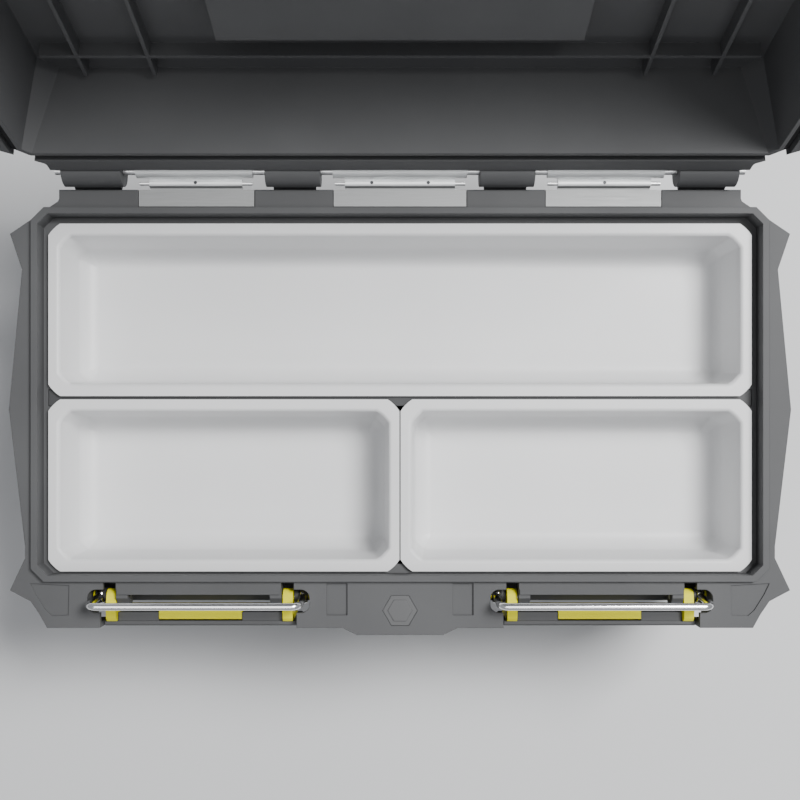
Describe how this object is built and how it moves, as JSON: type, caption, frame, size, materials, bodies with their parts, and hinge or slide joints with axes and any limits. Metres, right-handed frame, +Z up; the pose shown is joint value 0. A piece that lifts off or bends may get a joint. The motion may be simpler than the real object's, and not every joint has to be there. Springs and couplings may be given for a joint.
{
  "type": "toolbox",
  "caption": "Wide rugged plastic toolbox with lift-out bins under a hinged lid, wire-bail front latches and a fold-down carry handle.",
  "frame": {"origin": "centre of the flat base", "axes": "+X along the hinge, -Y towards the latches, +Z up; at rest the lid is fully open"},
  "size_m": [0.5428, 0.4439, 0.4977],
  "materials": {
    "shell_grey": "fine textured charcoal-grey structural plastic",
    "bin_grey": "smooth satin light-grey plastic",
    "latch_yellow": "satin yellow plastic",
    "trim_dark": "dark grey glass-filled plastic",
    "rubber": "black elastomer",
    "chrome": "bright chromed wire",
    "hinge_steel": "zinc-plated brushed steel"
  },
  "bodies": {
    "body": {"body_shell": "shell_grey", "base_pads": "rubber", "front_badge": "trim_dark", "bin_rail": "trim_dark", "hinge_rod": "chrome", "hinge_leaf_left": "hinge_steel", "hinge_leaf_center": "hinge_steel", "hinge_leaf_right": "hinge_steel", "hinge_leaf_pins": "chrome", "hinge_set_screws": "trim_dark", "latch_pins_left": "hinge_steel", "latch_pins_right": "hinge_steel"},
    "lid": {"lid_shell": "shell_grey", "lid_seal": "rubber", "lid_strike_left": "hinge_steel", "lid_strike_right": "hinge_steel", "handle_pins": "hinge_steel"},
    "handle": {"carry_handle": "trim_dark", "handle_grip": "rubber"},
    "rear_bin": {"bin_rear": "bin_grey"},
    "front_left_bin": {"bin_front_left": "bin_grey"},
    "front_right_bin": {"bin_front_right": "bin_grey"},
    "lever_left": {"latch_lever_left": "latch_yellow", "latch_cover_left": "shell_grey"},
    "bushes_left": {"latch_bushes_left": "trim_dark"},
    "bail_left": {"latch_bail_left": "chrome"},
    "lever_right": {"latch_lever_right": "latch_yellow", "latch_cover_right": "shell_grey"},
    "bushes_right": {"latch_bushes_right": "trim_dark"},
    "bail_right": {"latch_bail_right": "chrome"}
  },
  "joints": [
    {"name": "lid_hinge", "type": "hinge", "parent": "body", "child": "lid", "pos_m": [0, 0.1535, 0.187], "axis": [-1, 0, 0], "range_deg": [-105, 0]},
    {"name": "handle_fold", "type": "hinge", "parent": "lid", "child": "handle", "pos_m": [0, 0.2448, 0.34423], "axis": [1, 0, 0], "range_deg": [0, 90]},
    {"name": "rear_bin_lift", "type": "slide", "parent": "body", "child": "rear_bin", "axis": [0, 0, 1], "range_m": [0, 0.06]},
    {"name": "front_left_bin_lift", "type": "slide", "parent": "body", "child": "front_left_bin", "axis": [0, 0, 1], "range_m": [0, 0.06]},
    {"name": "front_right_bin_lift", "type": "slide", "parent": "body", "child": "front_right_bin", "axis": [0, 0, 1], "range_m": [0, 0.06]},
    {"name": "lever_turn_left", "type": "hinge", "parent": "body", "child": "lever_left", "pos_m": [-0.14, -0.1415, 0.171], "axis": [-1, 0, 0], "range_deg": [0, 85]},
    {"name": "bush_turn_left", "type": "hinge", "parent": "lever_left", "child": "bushes_left", "pos_m": [-0.14, -0.141, 0.165], "axis": [1, 0, 0], "range_deg": [0, 85]},
    {"name": "bail_swing_left", "type": "hinge", "parent": "bushes_left", "child": "bail_left", "pos_m": [-0.14, -0.141, 0.165], "axis": [1, 0, 0], "range_deg": [-15.15, 0]},
    {"name": "lever_turn_right", "type": "hinge", "parent": "body", "child": "lever_right", "pos_m": [0.14, -0.1415, 0.171], "axis": [-1, 0, 0], "range_deg": [0, 85]},
    {"name": "bush_turn_right", "type": "hinge", "parent": "lever_right", "child": "bushes_right", "pos_m": [0.14, -0.141, 0.165], "axis": [1, 0, 0], "range_deg": [0, 85]},
    {"name": "bail_swing_right", "type": "hinge", "parent": "bushes_right", "child": "bail_right", "pos_m": [0.14, -0.141, 0.165], "axis": [1, 0, 0], "range_deg": [-15.15, 0]}
  ],
  "couplings": [
    {"joint": "bush_turn_left", "follows": "lever_turn_left", "ratio": 1},
    {"joint": "bush_turn_right", "follows": "lever_turn_right", "ratio": 1}
  ]
}
